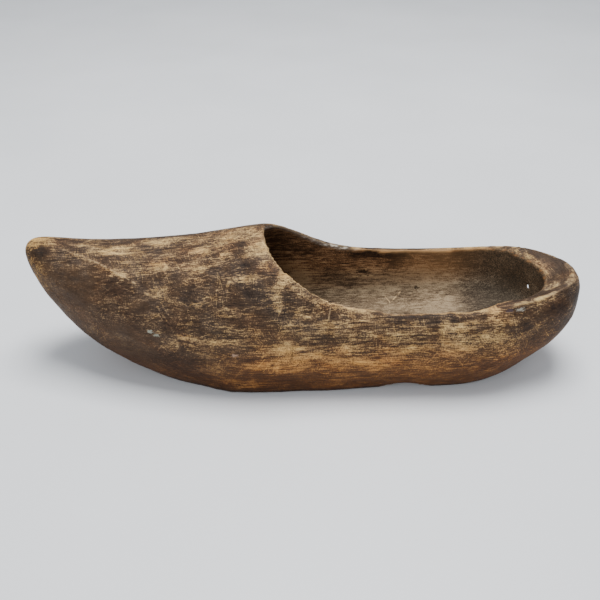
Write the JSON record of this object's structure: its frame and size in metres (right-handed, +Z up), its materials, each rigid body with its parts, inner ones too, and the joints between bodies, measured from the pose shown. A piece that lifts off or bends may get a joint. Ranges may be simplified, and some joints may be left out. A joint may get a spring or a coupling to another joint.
{
  "type": "wooden clog",
  "caption": "Pointed wooden clog for the left foot, carved from one block, with an upturned toe, a low open mouth, a broad heel rim and a flat sole with a low heel.",
  "frame": {"origin": "on the ground, under the middle of the clog's bounding box", "axes": "+X runs from the toe to the heel, +Y to the inner side of the foot, +Z up"},
  "size_m": [0.3701, 0.1051, 0.0945],
  "materials": {
    "wood": "old dark stain worn through to tan wood, dry and dull"
  },
  "bodies": {
    "root": {"clog_body": "wood"}
  },
  "joints": []
}
